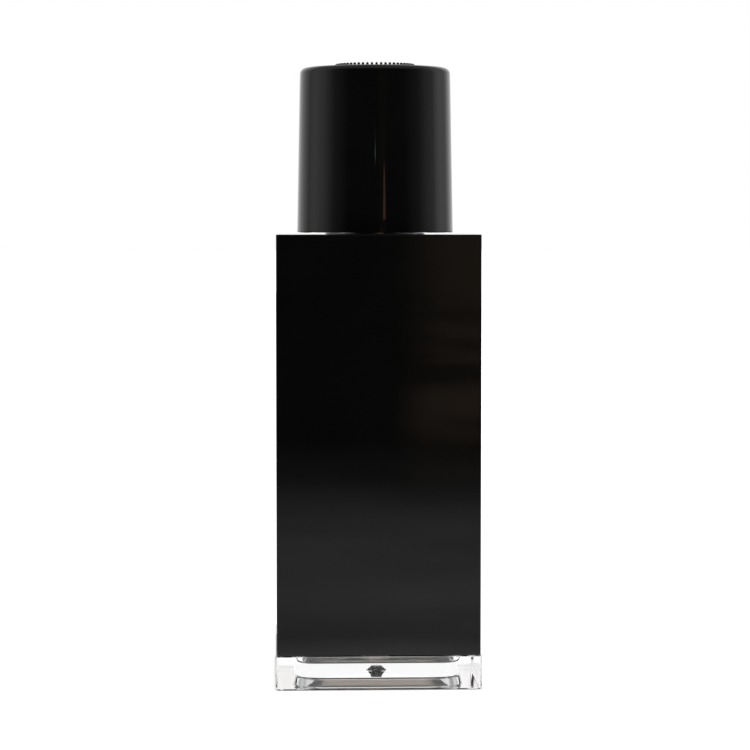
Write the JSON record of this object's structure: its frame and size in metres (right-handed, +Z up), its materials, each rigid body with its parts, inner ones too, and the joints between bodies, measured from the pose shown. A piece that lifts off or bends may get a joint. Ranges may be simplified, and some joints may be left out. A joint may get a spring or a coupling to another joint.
{
  "type": "aftershave spray bottle",
  "caption": "Square bottle with a clear glass foot and a gloss black sleeve, a crimped spray pump and a round pull-off cap with a serrated crown.",
  "frame": {"origin": "centre of the foot, on the surface that the bottle stands on", "axes": "+Z up along the bottle's height, X across its width, and the spray leaves along -Y"},
  "size_m": [0.0406, 0.0406, 0.1231],
  "materials": {
    "clear_glass": "fire-polished clear glass",
    "black_gloss": "high gloss",
    "black_satin": "satin",
    "black_anodised": "black anodised",
    "grey_plastic": "moulded polypropylene",
    "white_plastic": "moulded acetal and polypropylene",
    "polished_aluminium": "polished",
    "rubber": "matte",
    "spring_steel": "drawn stainless wire",
    "clear_tube": "translucent polyethylene"
  },
  "bodies": {
    "bottle": {"glass_bottle": "clear_glass", "outer_sleeve": "black_gloss", "collar_shell": "polished_aluminium", "collar_ring": "white_plastic", "crimp_ferrule": "polished_aluminium", "neck_gasket": "rubber", "pump_housing": "white_plastic", "pump_turret": "white_plastic", "dip_tube": "clear_tube", "return_spring": "spring_steel"},
    "stem": {"stem": "white_plastic", "valve_spring": "spring_steel"},
    "piston": {"piston": "white_plastic"},
    "inlet_ball": {"inlet_ball": "spring_steel"},
    "actuator": {"actuator_core": "black_satin", "actuator_shell": "black_anodised", "nozzle_insert": "white_plastic"},
    "cap": {"cap_shell": "black_gloss", "cap_liner": "grey_plastic", "crown_insert": "black_satin"}
  },
  "joints": [
    {"name": "cap_pull", "type": "slide", "parent": "bottle", "child": "cap", "axis": [0, 0, 1], "range_m": [0, 0.045]},
    {"name": "pump_stroke", "type": "slide", "parent": "bottle", "child": "stem", "axis": [0, 0, -1], "range_m": [0, 0.005], "stiffness_N_per_m": 1500, "springref_m": -0.003, "deforming": ["return_spring", "valve_spring"]},
    {"name": "piston_stroke", "type": "slide", "parent": "bottle", "child": "piston", "axis": [0, 0, -1], "range_m": [0, 0.0043]},
    {"name": "actuator_turn", "type": "hinge", "parent": "stem", "child": "actuator", "pos_m": [0, 0, 0.1103], "axis": [0, 0, 1], "continuous": true},
    {"name": "ball_lift", "type": "slide", "parent": "bottle", "child": "inlet_ball", "axis": [0, 0, 1], "range_m": [0, 0.0009]}
  ],
  "couplings": [
    {"joint": "piston_stroke", "follows": "pump_stroke", "ratio": 0.86}
  ]
}
